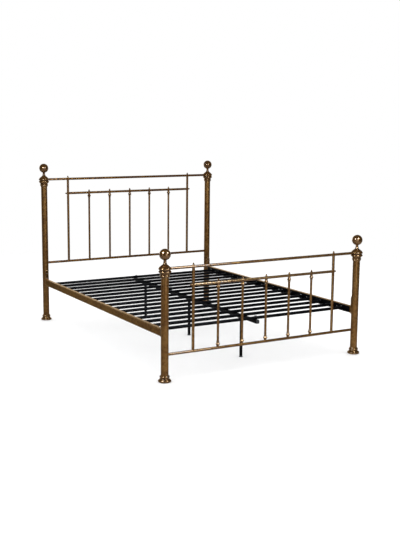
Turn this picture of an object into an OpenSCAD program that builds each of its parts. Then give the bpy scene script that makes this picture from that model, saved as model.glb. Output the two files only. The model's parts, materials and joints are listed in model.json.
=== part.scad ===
// Metal bed frame with ball-topped posts, spindled boards and a steel slat deck.
// Millimetres. X runs across the bed, +Y towards the headboard, +Z up.
// The origin is on the floor, below the middle of the frame.

/* [Frame] */
// Distance between the post centres, across the bed
post_span_w = 1540; // [1400:10:1900]
// Distance between the post centres, along the bed
post_span_l = 2090; // [2060:10:2200]
// Height of the headboard's top rail, at its centre
head_top_z = 1160; // [950:10:1400]
// Height of the headboard's low rail, at its centre
head_low_z = 478; // [450:1:600]
// Height of the footboard's top rail, at its centre
foot_top_z = 733; // [650:1:900]
// Height of the footboard's low rail, at its centre
foot_low_z = 178; // [120:1:220]
// Drop from a board's top rail to its mid rail
rail_gap = 118; // [90:1:160]
// Distance from a post's centre to the upright beside it
upright_inset = 207; // [120:1:260]
// Number of spindles in each board
spindle_count = 5; // [3:1:9]

/* [Tubes] */
// Outer diameter of a post
post_d = 50; // [46:1:52]
// Outer diameter of a board's rails
rail_d = 19; // [19:0.5:20]
// Outer diameter of an upright
upright_d = 19; // [16:1:19]
// Outer diameter of a spindle
spindle_d = 16; // [13:0.5:16]
// Wall thickness of every steel tube
tube_wall = 1.5; // [1.2:0.1:2]

/* [Balls] */
// Diameter of a ball finial
ball_d = 74; // [50:1:80]
// Height of a ball's centre above its top rail
ball_rise = 91; // [86:1:100]

/* [Side rails] */
// Height of a side rail's top face
side_top_z = 342; // [330:1:360]
// Width of a side rail
side_w = 25; // [22:1:30]
// Height of a side rail
side_h = 50; // [48:1:60]

/* [Slat deck] */
// Number of cross slats
slat_count = 16; // [8:1:20]
// Distance between slat centres
slat_pitch = 123; // [60:1:128]
// Outer diameter of a slat
slat_d = 22; // [18:1:22]
// Drop from a side rail's top face to the slats' centres
slat_drop = 25; // [22:1:26]
// Side of the square centre beam
beam_side = 25; // [22:1:30]
// Distance that the centre beam runs past the outer slats' centres
beam_overhang = 28; // [20:1:35]
// Distance between the centre legs
leg_pitch = 745; // [500:5:800]
// Outer diameter of a centre leg
leg_d = 22; // [20:1:24]

/* [Hidden] */
$fn = 96;
BRASS = [0.46, 0.34, 0.20];
BRASS_DARK = [0.36, 0.25, 0.14];
BLACK = [0.08, 0.08, 0.09];
PLASTIC = [0.05, 0.05, 0.05];
STEEL = [0.62, 0.62, 0.60];
BIG = 4000;
fit = 0.05;
gap = 0.2;

half_w = post_span_w / 2;
half_l = post_span_l / 2;
upright_x = half_w - upright_inset;
spindle_step = 2 * upright_x / (spindle_count + 1);
rail_r = rail_d / 2;
spindle_r = spindle_d / 2;
upright_r = upright_d / 2;
post_r = post_d / 2;

// threaded studs that hold the boards together, under their acorn nuts
stud_r = 3;
stud_hole_r = 3.1;
stud_reach = 18;
plug_len = 16;

// turned base under each post
base_r = 43;
base_lift = 1;
base_top = 44;
base_lip_r = 8;
base_ring_r = 33;
base_ring_half = 8.5;
base_waist_r = 31.3;
base_floor = 6;
glide_r = 33;
glide_t = 3;

// turned cap on each post, measured from its top rail's centre
cap_top = 28;
cap_bottom = -58;
cap_neck_r = 16;
cap_r = 42;
cap_band_r = 41.6;
cap_step_r = 34;
cap_groove_r = 30.3;
cap_ring_r = 33;
cap_collar_r = 29.3;
post_top = -16;
socket_depth = 20;

// hollow ball finial, drilled through its stud
ball_wall = 2.5;
finial_neck_r = 10;
finial_bell_r = 13.4;
finial_stud_r = 4;
finial_stud_len = 13;
finial_bore_r = 2;

// hooked joint between a side rail and a post
bracket_w = 32;
bracket_face = post_r + 5;
bracket_bottom = side_top_z - 61;
bracket_top = side_top_z + 75;
hook_z = [side_top_z - 39, side_top_z - 10];
spare_z = [side_top_z + 32, side_top_z + 61];
screw_z = [side_top_z - 55, side_top_z + 11, side_top_z + 48];
hook_t = 4;
hook_half_h = 4;
hook_nose = 6;
slot_up = 7;
end_plate_t = 4;
side_end = half_l - bracket_face - end_plate_t;
side_wall = 1.5;

// slat carriers and deck
slat_r = slat_d / 2;
slat_z = side_top_z - slat_drop;
carrier_t = 3;
carrier_h = 46;
carrier_leg = 22;
carrier_x = half_w - side_w / 2 - carrier_t;
carrier_end = side_end - 11;
slat_end = carrier_x - 2.5;
slat_screw_x = carrier_x - 11.5;
slat_hole_r = 2.6;
deck_screw_r = 2.5;
beam_top = slat_z - slat_r - gap;
beam_end = (slat_count - 1) / 2 * slat_pitch + beam_overhang;
beam_bolt_r = 4;
beam_bolts = 4;
end_cap_t = 3;
end_cap_plug = 15;
leg_top = beam_top - beam_side;
leg_flange_t = 2.5;
leg_flange_l = 64;
leg_screw_y = 23;
leg_bottom = 11;
leg_insert = 14;
level_pad_r = 13;
level_pad_h = 8;
level_edge_r = 3;
level_stud_r = 4;
level_stud_top = 60;
carrier_screws = 6;

SIDES = ["left", "right"];
ENDS = ["head", "foot"];
function side_x(side) = side == "left" ? -half_w : half_w;
function end_y(end) = end == "head" ? half_l : -half_l;
function top_z(end) = end == "head" ? head_top_z : foot_top_z;
function low_z(end) = end == "head" ? head_low_z : foot_low_z;
function mid_z(end) = top_z(end) - rail_gap;
function spindle_x(i) = -upright_x + (i + 1) * spindle_step;
function slat_y(i) = (i - (slat_count - 1) / 2) * slat_pitch;
function bolt_slat(i) = round(i * (slat_count - 1) / (beam_bolts - 1));
function is_bolted(i) = len([for (b = [0 : beam_bolts - 1]) if (bolt_slat(b) == i) b]) > 0;
function leg_y(i) = (i - 1) * leg_pitch;

function slat_name(i) = str("slat_", i < 10 ? "0" : "", i);

// ---- shapes shared by several sub-parts

// points along an arc, between two angles in degrees
function arc(centre, r, from, to, steps = 10) = [
    for (k = [0 : steps])
        let (a = from + (to - from) * k / steps)
            centre + r * [cos(a), sin(a)]
];

module rod_x(r, from, to) {
    translate([from, 0, 0])
        rotate([0, 90, 0])
            cylinder(r = r, h = to - from);
}

module rod_y(r, from, to) {
    translate([0, from, 0])
        rotate([-90, 0, 0])
            cylinder(r = r, h = to - from);
}

module rod_z(r, from, to) {
    translate([0, 0, from])
        cylinder(r = r, h = to - from);
}

module tube_z(r, from, to) {
    difference() {
        rod_z(r, from, to);
        rod_z(r - tube_wall, from - 1, to + 1);
    }
}

module box(low, high) {
    translate(low)
        cube(high - low);
}

// one side's worth of children, copied to the other three corners
module at_corners() {
    for (end = ENDS, side = SIDES)
        translate([side_x(side), end_y(end), 0])
            mirror([side == "left" ? 0 : 1, 0, 0])
                mirror([0, end == "foot" ? 0 : 1, 0])
                    children();
}

// ---- posts

module post(end, side) {
    inward = end == "head" ? -1 : 1;
    across = side == "left" ? 1 : -1;
    color(BRASS)
        translate([side_x(side), end_y(end), 0])
            difference() {
                tube_z(post_r, base_lift + base_floor, top_z(end) + post_top);
                translate([0, 0, low_z(end)])
                    mirror([across < 0 ? 1 : 0, 0, 0])
                        rod_x(rail_r + fit, 0, post_r + 5);
                mirror([0, inward < 0 ? 1 : 0, 0]) {
                    rail_slots(post_r + 2);
                    bracket_screw_holes(post_r + 2);
                }
            }
}

// slots for the hooks, used pair and spare pair, cut out to a distance from the post's axis
module rail_slots(reach) {
    for (z = concat(hook_z, spare_z))
        box([-hook_t / 2 - 0.3, post_r / 2, z - hook_half_h - gap],
            [hook_t / 2 + 0.3, reach, z + slot_up]);
}

module bracket_screw_holes(reach) {
    for (z = screw_z)
        translate([0, 0, z])
            rod_y(2 + fit, post_r / 2, reach);
}

module post_base(end, side) {
    color(BRASS_DARK)
        translate([side_x(side), end_y(end), 0])
            rotate_extrude()
                difference() {
                    base_profile();
                    translate([0, base_lift + base_floor])
                        square([post_r + fit, base_top]);
                    square([glide_r + fit, glide_t]);
                    square([base_r, base_lift]);
                }
}

// turned outline of the base: round foot, cove and ring
module base_profile() {
    lip_z = base_lip_r + 0.5;
    cove_z = 26;
    cove_r = 10;
    ring_z = base_top - base_ring_half - 0.5;
    polygon(concat(
        [[0, base_lift], [base_r - base_lip_r + 3, base_lift]],
        arc([base_r - base_lip_r, lip_z], base_lip_r, -65, 62),
        arc([base_waist_r + cove_r, cove_z], cove_r, 248, 180),
        arc([base_ring_r - base_ring_half, ring_z], base_ring_half, -50, 75),
        [[post_r + 1.5, base_top], [0, base_top]]
    ));
}

module post_cap(end, side) {
    across = side == "left" ? 0 : 1;
    color(BRASS_DARK)
        translate([side_x(side), end_y(end), top_z(end)])
            difference() {
                rotate_extrude()
                    cap_profile();
                rod_z(post_r + fit, cap_bottom - 1, post_top + fit);
                mirror([across, 0, 0])
                    rod_x(rail_r + fit, socket_depth, cap_r + 5);
                rod_z(finial_stud_r + fit, cap_top - finial_stud_len - 1, cap_top + 1);
            }
}

// turned outline of the cap: cone, wide ring, band, groove, ring and collar
module cap_profile() {
    wide_r = 7;
    band_half = 7;
    ring_half = 5.6;
    polygon(concat(
        [[0, cap_bottom], [0, cap_top], [cap_neck_r, cap_top], [cap_neck_r + 1.5, cap_top - 1]],
        [[cap_neck_r + 8, cap_top - 5.8], [cap_neck_r + 14.5, cap_top - 11.2], [cap_r - 6, cap_top - 16.6]],
        arc([cap_r - wide_r, 1], wide_r, 44, -76),
        arc([cap_band_r - band_half, -18], band_half, 76, -72, 12),
        [[cap_step_r, -26.2], [cap_step_r, -28.8], [cap_groove_r, -31], [cap_groove_r, -36.4]],
        arc([cap_ring_r - ring_half, -44], ring_half, 75, -75),
        [[cap_collar_r, -50.6], [cap_collar_r, -53.4], [post_r + 1.5, cap_bottom]]
    ));
}

module ball_finial(end, side) {
    centre = ball_rise;
    ball_r = ball_d / 2;
    join_z = centre - sqrt(ball_r * ball_r - finial_neck_r * finial_neck_r);
    color(BRASS)
        translate([side_x(side), end_y(end), top_z(end)])
            difference() {
                union() {
                    translate([0, 0, centre])
                        sphere(r = ball_r);
                    rotate_extrude()
                        finial_neck_profile(join_z + 1);
                    rod_z(finial_stud_r, cap_top - finial_stud_len, cap_top + 1);
                }
                translate([0, 0, centre])
                    sphere(r = ball_r - ball_wall);
                rod_z(finial_bore_r, cap_top - finial_stud_len - 1, centre);
            }
}

// turned outline of the neck: flange, small bell and stem, up to the ball
module finial_neck_profile(top) {
    bell_half = 3.6;
    polygon(concat(
        [[0, cap_top], [cap_neck_r - 0.4, cap_top], [cap_neck_r - 0.4, cap_top + 1.6]],
        arc([finial_bell_r - bell_half, cap_top + 5.5], bell_half, -45, 55),
        [[finial_neck_r + 1.4, cap_top + 10.5], [finial_neck_r + 0.4, cap_top + 13]],
        [[finial_neck_r, cap_top + 16], [finial_neck_r, top], [0, top]]
    ));
}

// ---- boards

module top_rail(end) {
    reach = half_w - socket_depth - 1;
    color(BRASS)
        translate([0, end_y(end), top_z(end)])
            difference() {
                rod_x(rail_r, -reach, reach);
                rod_x(rail_r - tube_wall, -reach - 1, reach + 1);
                for (x = [-upright_x, upright_x])
                    translate([x, 0, 0])
                        rod_z(stud_hole_r, -rail_d, rail_d);
            }
}

// the mid rail ends in plugs whose studs pass through the uprights
module mid_rail(end) {
    color(BRASS)
        translate([0, end_y(end), mid_z(end)])
            difference() {
                union() {
                    difference() {
                        rod_x(rail_r, -upright_x, upright_x);
                        rod_x(rail_r - tube_wall, -upright_x + plug_len, upright_x - plug_len);
                        for (x = [-upright_x, upright_x])
                            translate([x, 0, 0])
                                rod_z(upright_r + fit, -rail_d, rail_d);
                    }
                    rod_x(stud_r, -upright_x - stud_reach, -upright_x + plug_len - 1);
                    rod_x(stud_r, upright_x - plug_len + 1, upright_x + stud_reach);
                }
                for (i = [0 : spindle_count - 1])
                    translate([spindle_x(i), 0, 0])
                        rod_z(stud_hole_r, -rail_d, rail_d);
            }
}

module low_rail(end) {
    reach = half_w - post_r + 5;
    color(BRASS)
        translate([0, end_y(end), low_z(end)])
            difference() {
                rod_x(rail_r, -reach, reach);
                rod_x(rail_r - tube_wall, -reach - 1, reach + 1);
            }
}

// a bar between two rails: its ends are shaped to the rails, and its top stud takes an acorn nut
module board_bar(end, r, x, upper_z) {
    bottom = low_z(end);
    translate([x, end_y(end), 0]) {
        difference() {
            rod_z(r, bottom, upper_z);
            rod_z(r - tube_wall, bottom, upper_z - plug_len - rail_r);
            translate([0, 0, bottom])
                rod_x(rail_r + fit, -BIG, BIG);
            translate([0, 0, upper_z])
                rod_x(rail_r + fit, -BIG, BIG);
            children();
        }
        rod_z(stud_r, upper_z - rail_r - plug_len / 2, upper_z + stud_reach);
    }
}

module uprights(end) {
    color(BRASS)
        for (x = [-upright_x, upright_x])
            board_bar(end, upright_r, x, top_z(end))
                translate([0, 0, mid_z(end)])
                    rod_x(stud_hole_r, -upright_d, upright_d);
}

module spindles(end) {
    color(BRASS)
        for (i = [0 : spindle_count - 1])
            board_bar(end, spindle_r, spindle_x(i), mid_z(end));
}

// turned sleeve on a spindle: its neck meets the rail at the origin, the bead lies below
module collar() {
    bead_z = -26;
    bead_r = spindle_r + 6;
    neck_r = spindle_r + 1.2;
    difference() {
        rotate_extrude()
            difference() {
                union() {
                    translate([0, bead_z - 17])
                        square([neck_r, -bead_z + 14]);
                    polygon([
                        [0, bead_z + 9], [neck_r + 0.2, bead_z + 8], [bead_r - 1.8, bead_z + 4],
                        [bead_r, bead_z + 1.2], [bead_r, bead_z - 1.2],
                        [bead_r - 1.8, bead_z - 4], [neck_r + 0.2, bead_z - 8], [0, bead_z - 9]
                    ]);
                    translate([neck_r - 0.6, bead_z - 14.5])
                        circle(r = 1.8);
                }
                translate([0, -BIG / 2])
                    square([spindle_r + fit, BIG]);
            }
        rod_x(rail_r + fit, -BIG, BIG);
    }
}

// headboard spindles have a collar at the top, footboard spindles at both ends
module spindle_collars() {
    color(BRASS_DARK)
        for (end = ENDS, i = [0 : spindle_count - 1])
            translate([spindle_x(i), end_y(end), 0]) {
                translate([0, 0, mid_z(end)])
                    collar();
                if (end == "foot")
                    translate([0, 0, low_z(end)])
                        mirror([0, 0, 1])
                            collar();
            }
}

// pointed nut on a stud, seated on a tube of radius seat_r that lies along X
module acorn_nut(seat_r) {
    difference() {
        rotate_extrude()
            polygon([
                [0, 4], [7, 4], [7.5, seat_r + 1], [7.2, seat_r + 3], [5.6, seat_r + 3.8],
                [6.2, seat_r + 6], [5.6, seat_r + 9.5], [4, seat_r + 12.5],
                [2, seat_r + 15], [0.8, seat_r + 16.2], [0, seat_r + 16.5]
            ]);
        rod_x(seat_r + fit, -BIG, BIG);
        rod_z(stud_r + fit, 0, stud_reach + 0.5);
    }
}

module acorn_nuts() {
    color(BRASS_DARK)
        for (end = ENDS)
            translate([0, end_y(end), 0]) {
                for (i = [0 : spindle_count - 1])
                    translate([spindle_x(i), 0, mid_z(end)])
                        acorn_nut(rail_r);
                for (x = [-upright_x, upright_x])
                    translate([x, 0, top_z(end)])
                        acorn_nut(rail_r);
                for (way = [-1, 1])
                    translate([way * upright_x, 0, mid_z(end)])
                        rotate([0, way * 90, 0])
                            acorn_nut(upright_r);
            }
}

// ---- side rails

module side_rail(side) {
    x = side_x(side);
    bottom = side_top_z - side_h;
    color(BRASS) {
        difference() {
            box([x - side_w / 2, -side_end, bottom], [x + side_w / 2, side_end, side_top_z]);
            box([x - side_w / 2 + side_wall, -side_end - 1, bottom + side_wall],
                [x + side_w / 2 - side_wall, side_end + 1, side_top_z - side_wall]);
            for (i = [0 : carrier_screws - 1])
                translate([0, carrier_screw_y(i), slat_z])
                    mirror([side == "left" ? 1 : 0, 0, 0])
                        rod_x(slat_hole_r, carrier_x, half_w);
        }
        for (way = [-1, 1])
            translate([x, 0, 0])
                mirror([0, way < 0 ? 1 : 0, 0])
                    end_plate(bottom);
    }
}

// welded end plate with the two hooks that drop into a post's slots
module end_plate(bottom) {
    box([-side_w / 2 - 1, side_end, bottom], [side_w / 2 + 1, side_end + end_plate_t, side_top_z]);
    for (z = hook_z) {
        box([-hook_t / 2, side_end + end_plate_t, z - hook_half_h],
            [hook_t / 2, half_l - post_r + 6, z + hook_half_h]);
        box([-hook_t / 2, half_l - post_r + tube_wall + 1, z - hook_half_h - hook_nose],
            [hook_t / 2, half_l - post_r + 6, z - hook_half_h]);
    }
}

// saddle that backs the slots, with round ends, facing +Y
module rail_bracket() {
    r = bracket_w / 2;
    difference() {
        intersection() {
            translate([0, bracket_face, 0])
                rotate([90, 0, 0])
                    linear_extrude(bracket_face)
                        union() {
                            translate([0, bracket_bottom + r])
                                circle(r = r);
                            translate([0, bracket_top - r])
                                circle(r = r);
                            translate([-r, bracket_bottom + r])
                                square([bracket_w, bracket_top - bracket_bottom - bracket_w]);
                        }
            box([-r, post_r / 2, 0], [r, bracket_face, BIG]);
        }
        rod_z(post_r + fit, 0, BIG);
        rail_slots(bracket_face + 1);
        bracket_screw_holes(bracket_face + 1);
    }
}

module rail_brackets() {
    color(BRASS_DARK)
        at_corners()
            rail_bracket();
}

module bracket_screws() {
    color(STEEL)
        at_corners()
            for (z = screw_z)
                translate([0, 0, z]) {
                    rod_y(2, post_r - 4, bracket_face);
                    rod_y(3.5, bracket_face, bracket_face + 1.6);
                }
}

// ---- slat deck

// steel strip along a side rail, with the leg that the slats lie on
module slat_carrier(side) {
    leg_top_z = slat_z - slat_r - gap;
    color(BLACK)
        mirror([side == "left" ? 1 : 0, 0, 0])
            difference() {
                union() {
                    box([carrier_x, -carrier_end, side_top_z - 2 - carrier_h],
                        [carrier_x + carrier_t, carrier_end, side_top_z - 2]);
                    box([carrier_x - carrier_leg, -carrier_end, leg_top_z - carrier_t],
                        [carrier_x, carrier_end, leg_top_z]);
                }
                for (i = [0 : slat_count - 1])
                    translate([slat_screw_x, slat_y(i), 0])
                        rod_z(slat_hole_r, leg_top_z - 10, leg_top_z + 10);
                for (i = [0 : carrier_screws - 1])
                    translate([0, carrier_screw_y(i), slat_z])
                        rod_x(slat_hole_r, carrier_x - 1, carrier_x + carrier_t + 1);
            }
}

// carrier screws sit halfway between slats, spread alike over both halves of the rail
function carrier_screw_y(i) =
    let (outer = (slat_count - 2) / 2, half = carrier_screws / 2, k = i % half)
        (i < half ? -1 : 1) * (outer - round(k * outer / (half - 0.5))) * slat_pitch;

module slat(i) {
    color(BLACK)
        translate([0, slat_y(i), slat_z])
            difference() {
                rod_x(slat_r, -slat_end, slat_end);
                rod_x(slat_r - tube_wall, -slat_end - 1, slat_end + 1);
                for (x = [-slat_screw_x, slat_screw_x])
                    translate([x, 0, 0])
                        rod_z(slat_hole_r, -slat_d, slat_d);
                if (is_bolted(i))
                    rod_z(beam_bolt_r + 0.1, -slat_d, slat_d);
            }
}

module centre_beam() {
    r = beam_side / 2;
    color(BLACK)
        difference() {
            box([-r, -beam_end, beam_top - beam_side], [r, beam_end, beam_top]);
            box([-r + tube_wall, -beam_end - 1, beam_top - beam_side + tube_wall],
                [r - tube_wall, beam_end + 1, beam_top - tube_wall]);
            for (b = [0 : beam_bolts - 1])
                translate([0, slat_y(bolt_slat(b)), 0])
                    rod_z(beam_bolt_r + 0.1, beam_top - 5, beam_top + 1);
            for (i = [0 : 2], way = [-1, 1])
                translate([0, leg_y(i) + way * leg_screw_y, 0])
                    rod_z(slat_hole_r, leg_top - 1, leg_top + 5);
        }
}

module beam_end_caps() {
    r = beam_side / 2;
    plug = r - tube_wall - 0.1;
    middle = beam_top - r;
    color(PLASTIC)
        for (way = [0, 1])
            mirror([0, way, 0]) {
                box([-r, beam_end, middle - r], [r, beam_end + end_cap_t, middle + r]);
                box([-plug, beam_end - end_cap_plug, middle - plug],
                    [plug, beam_end, middle + plug]);
            }
}

// centre leg: tube with a screwed flange on top and a threaded insert in its foot
module centre_leg(i) {
    color(BLACK)
        translate([0, leg_y(i), 0]) {
            difference() {
                rod_z(leg_d / 2, leg_bottom, leg_top - leg_flange_t);
                rod_z(leg_d / 2 - tube_wall, leg_bottom + leg_insert, leg_top - leg_flange_t);
                rod_z(level_stud_r + fit, 0, leg_bottom + leg_insert + 1);
            }
            difference() {
                box([-beam_side / 2, -leg_flange_l / 2, leg_top - leg_flange_t],
                    [beam_side / 2, leg_flange_l / 2, leg_top]);
                for (way = [-1, 1])
                    translate([0, way * leg_screw_y, 0])
                        rod_z(slat_hole_r, leg_top - 10, leg_top + 1);
            }
        }
}

module levelling_foot(i) {
    color(PLASTIC)
        translate([0, leg_y(i), 0]) {
            rotate_extrude() {
                square([level_pad_r - level_edge_r, level_pad_h]);
                translate([0, level_edge_r])
                    square([level_pad_r, level_pad_h - 2 * level_edge_r]);
                for (z = [level_edge_r, level_pad_h - level_edge_r])
                    translate([level_pad_r - level_edge_r, z])
                        circle(r = level_edge_r);
            }
            rod_z(level_stud_r, level_pad_h - 1, level_stud_top);
        }
}

module pan_screw_down(shank_r, head_r, head_h, length) {
    rod_z(shank_r, -length, 0);
    rod_z(head_r, 0, head_h);
}

module deck_screws() {
    slat_top = slat_z + slat_r;
    color(STEEL) {
        for (i = [0 : slat_count - 1], x = [-slat_screw_x, slat_screw_x])
            translate([x, slat_y(i), slat_top])
                pan_screw_down(deck_screw_r, 5, 2.6, slat_d + 6);
        for (b = [0 : beam_bolts - 1])
            translate([0, slat_y(bolt_slat(b)), slat_top]) {
                rod_z(beam_bolt_r, -slat_d - 8, 0);
                cylinder(r = 7.5, h = 6, $fn = 6);
            }
        for (i = [0 : 2], way = [-1, 1])
            translate([0, leg_y(i) + way * leg_screw_y, leg_top - leg_flange_t])
                mirror([0, 0, 1])
                    pan_screw_down(deck_screw_r, 5, 2.6, 12);
        for (i = [0 : carrier_screws - 1], way = [-1, 1])
            translate([way * carrier_x, carrier_screw_y(i), slat_z])
                rotate([0, -way * 90, 0])
                    pan_screw_down(deck_screw_r, 5, 2.2, 10);
    }
}

module floor_glides() {
    color(PLASTIC)
        for (end = ENDS, side = SIDES)
            translate([side_x(side), end_y(end), 0])
                rod_z(glide_r, 0, glide_t);
}

// ---- assembly

for (end = ENDS, side = SIDES) {
    post(end, side);
    post_base(end, side);
    post_cap(end, side);
    ball_finial(end, side);
}
for (end = ENDS) {
    top_rail(end);
    mid_rail(end);
    low_rail(end);
    uprights(end);
    spindles(end);
}
spindle_collars();
acorn_nuts();
for (side = SIDES) {
    side_rail(side);
    slat_carrier(side);
}
for (i = [1 : slat_count])
    slat(i - 1);
centre_beam();
beam_end_caps();
for (i = [1 : 3]) {
    centre_leg(i - 1);
    levelling_foot(i - 1);
}
rail_brackets();
bracket_screws();
deck_screws();
floor_glides();
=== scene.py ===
import json
import math

import bmesh
import bpy
import numpy as np
from mathutils import Matrix, Vector

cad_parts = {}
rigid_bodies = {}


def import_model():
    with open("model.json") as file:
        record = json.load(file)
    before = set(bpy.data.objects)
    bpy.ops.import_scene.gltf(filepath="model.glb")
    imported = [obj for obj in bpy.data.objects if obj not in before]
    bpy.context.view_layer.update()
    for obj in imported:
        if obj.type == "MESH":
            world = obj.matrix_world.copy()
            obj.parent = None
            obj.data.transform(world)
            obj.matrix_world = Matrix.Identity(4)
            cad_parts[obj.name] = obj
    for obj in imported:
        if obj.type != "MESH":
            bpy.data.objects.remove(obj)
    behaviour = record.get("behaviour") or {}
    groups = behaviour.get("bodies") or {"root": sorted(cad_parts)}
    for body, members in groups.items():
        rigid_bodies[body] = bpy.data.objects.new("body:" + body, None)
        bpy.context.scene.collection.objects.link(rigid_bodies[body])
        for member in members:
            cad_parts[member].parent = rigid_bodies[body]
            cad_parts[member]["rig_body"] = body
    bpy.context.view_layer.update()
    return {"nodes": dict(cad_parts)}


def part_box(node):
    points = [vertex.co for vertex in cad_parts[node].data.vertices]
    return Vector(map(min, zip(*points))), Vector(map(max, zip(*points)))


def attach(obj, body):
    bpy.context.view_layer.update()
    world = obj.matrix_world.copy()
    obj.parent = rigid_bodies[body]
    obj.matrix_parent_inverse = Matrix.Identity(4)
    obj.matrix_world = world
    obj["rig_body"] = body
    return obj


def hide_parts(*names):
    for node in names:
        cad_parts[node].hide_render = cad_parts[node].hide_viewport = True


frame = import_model()

MM = 0.001

# ---- sizes in millimetres, as the CAD has them

# outer radii of the tubes, their wall, the gap of a fit, a board's spindles and the deck's slats
POST_R = 25
RAIL_R = 9.5
UPRIGHT_R = 9.5
SPINDLE_R = 8
SLAT_R = 11
LEG_R = 11
WALL = 1.5
FIT = 0.05
SPINDLES = 5
SLATS = 16

# a floor glide's radius and thickness, and heights of the turned base above the floor
GLIDE_R = 33
GLIDE_T = 3
BASE_LIFT = 1
BASE_FLOOR = 7
BASE_TOP = 44

# heights of a cap and its ball above the top rail's axis, the end of the post, and the ball's radius
CAP_TOP = 28
CAP_BOTTOM = -58
POST_END = -16
BALL_R = 37
BALL_RISE = 91
# where the top rail's socket starts, from the post's axis
SOCKET = 20

# studs that hold the boards together under the acorn nuts
PIN_R = 3
PIN_BEVEL = 0.6
PIN_TOP = 18

# hooked joint of the side rails: drops of the hooks and rises of the spare slots and the screws,
# from the side rails' top face
HOOK_DROPS = (39, 10)
SPARE_RISES = (32, 61)
SCREW_RISES = (-55, 11, 48)
# the bracket's face and the slot cutter's start, from the post's axis
BRACKET_FACE = 30
SLOT_FROM = 12.5
# the bracket's width, and a slot's height and width
BRACKET_W = 32
SLOT_H = 11.2
SLOT_W = 4.6
# side rail and its end plate, and the hooks, whose reach is from the plate
SIDE_W = 25
PLATE_W = 27
PLATE_T = 4
HOOK_HALF_H = 4
HOOK_HALF_T = 2
HOOK_NOSE = 10
HOOK_REACH = 11
HOOK_INNER = 7.5

# deck: slat carriers, centre beam, leg flanges and their screws
CARRIER_T = 3
CARRIER_LEG = 22
SEAT_GAP = 0.2
CARRIER_SCREWS = 6
SCREW_INSET = 11.5
DECK_SCREW_R = 2.5
DECK_HEAD_R = 5
DECK_CROSS = 4.6
BOLTED_SLATS = 4
BEAM = 25
FLANGE_W = 25
FLANGE_L = 64
FLANGE_T = 2.5
LEG_SCREW_Y = 23

# levelling feet: the insert's depth in the leg, and the threaded stud from inside the pad to its top
INSERT = 14
STUD_R = 4
STUD_FOOT = 7.5
STUD_TOP = 60
PITCH = 1.25
PITCH_STEPS = 8
THREAD_DEPTH = 0.62

# ---- mesh building: loops of points skinned into closed surfaces

# columns take a local point (across, across, along) to the frame, without mirroring it
AXES = {
    "z": np.array([[1, 0, 0], [0, 1, 0], [0, 0, 1.0]]),
    "-z": np.array([[1, 0, 0], [0, -1, 0], [0, 0, -1.0]]),
    "x": np.array([[0, 0, 1], [1, 0, 0], [0, 1, 0.0]]),
    "-x": np.array([[0, 0, -1], [1, 0, 0], [0, -1, 0.0]]),
    "y": np.array([[0, 1, 0], [0, 0, 1], [1, 0, 0.0]]),
    "-y": np.array([[0, -1, 0], [0, 0, -1], [1, 0, 0.0]]),
}

# an edge of this radius in mm is rubbed bright, or as a hollow is fully darkened with patina and painted
# shade
WORN_RADIUS = 2.5
# distance in mm from an edge to the point that keeps its wear from spreading
SUPPORT = 3.0
# points closer than this many metres are one
WELD = 2e-6
# a loop smaller than this many metres is a pole
POLE = 1e-7


class Shape:
    """Points in metres, faces, and each point's wear: 1 on a rubbed edge, -1 in a crevice."""

    def __init__(self):
        self.points, self.faces, self.worn = [], [], []

    def add(self, points, faces, worn):
        start = len(self.points)
        self.points.extend(tuple(float(x) for x in p) for p in points)
        self.worn.extend(float(w) for w in worn)
        self.faces.extend(tuple(i + start for i in face) for face in faces)

    def copy_in(self, other, matrix):
        turn = np.array(matrix)[:3, :3]
        move = np.array(matrix)[:3, 3]
        self.add(np.array(other.points) @ turn.T + move, other.faces, other.worn)

    def mesh(self, name):
        mesh = bpy.data.meshes.new(name)
        mesh.from_pydata(self.points, [], self.faces)
        mesh.attributes.new("wear", "FLOAT", "POINT").data.foreach_set("value", self.worn)
        welded = bmesh.new()
        welded.from_mesh(mesh)
        bmesh.ops.remove_doubles(welded, verts=welded.verts, dist=WELD)
        bmesh.ops.dissolve_degenerate(welded, dist=WELD, edges=welded.edges)
        welded.to_mesh(mesh)
        welded.free()
        mesh.validate()
        return mesh


def skin(shape, loops, worn, wrap=False):
    """Skins a stack of loops. One repeated point is a pole. The ends are closed, or wrap joins them."""
    n = len(loops[0])
    points, wears, index = [], [], []
    for loop, wear in zip(loops, worn):
        if np.ptp(loop, axis=0).max() < POLE:
            index.append([len(points)] * n)
            points.append(loop[0])
            wears.append(wear[0])
        else:
            index.append(list(range(len(points), len(points) + n)))
            points.extend(loop)
            wears.extend(wear)
    faces = []
    for i in range(len(loops) if wrap else len(loops) - 1):
        low, high = index[i], index[(i + 1) % len(loops)]
        for j in range(n):
            k = (j + 1) % n
            face = list(dict.fromkeys((low[j], low[k], high[k], high[j])))
            if len(face) > 2:
                faces.append(face)
    if not wrap:
        if index[0][0] != index[0][1]:
            faces.append(index[0][::-1])
        if index[-1][0] != index[-1][1]:
            faces.append(index[-1])
    shape.add(points, faces, wears)


def curve_wear(line, wrap):
    """How sharply a line of points turns at each one, against the rounding WORN_RADIUS."""
    line = np.array(line, float)
    before = line - np.roll(line, 1, axis=0)
    after = np.roll(line, -1, axis=0) - line
    cross = before[:, 0] * after[:, 1] - before[:, 1] * after[:, 0]
    turn = np.arctan2(cross, (before * after).sum(1))
    step = np.clip((np.hypot(*before.T) + np.hypot(*after.T)) / 2, 0.2, SUPPORT)
    wear = np.clip(turn / step * WORN_RADIUS, -1, 1)
    if not wrap:
        wear[0] = wear[-1] = 0
    return wear


def supported(line, wrap):
    """The line with a point near each end of every long segment, so that wear stays by its edge."""
    made = []
    count = len(line)
    for i, p in enumerate(line):
        p = np.array(p, float)
        made.append(p)
        if i + 1 < count or wrap:
            q = np.array(line[(i + 1) % count], float)
            length = np.linalg.norm(q - p)
            if length > 3 * SUPPORT:
                made.append(p + (q - p) * SUPPORT / length)
                made.append(q - (q - p) * SUPPORT / length)
    return made


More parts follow.
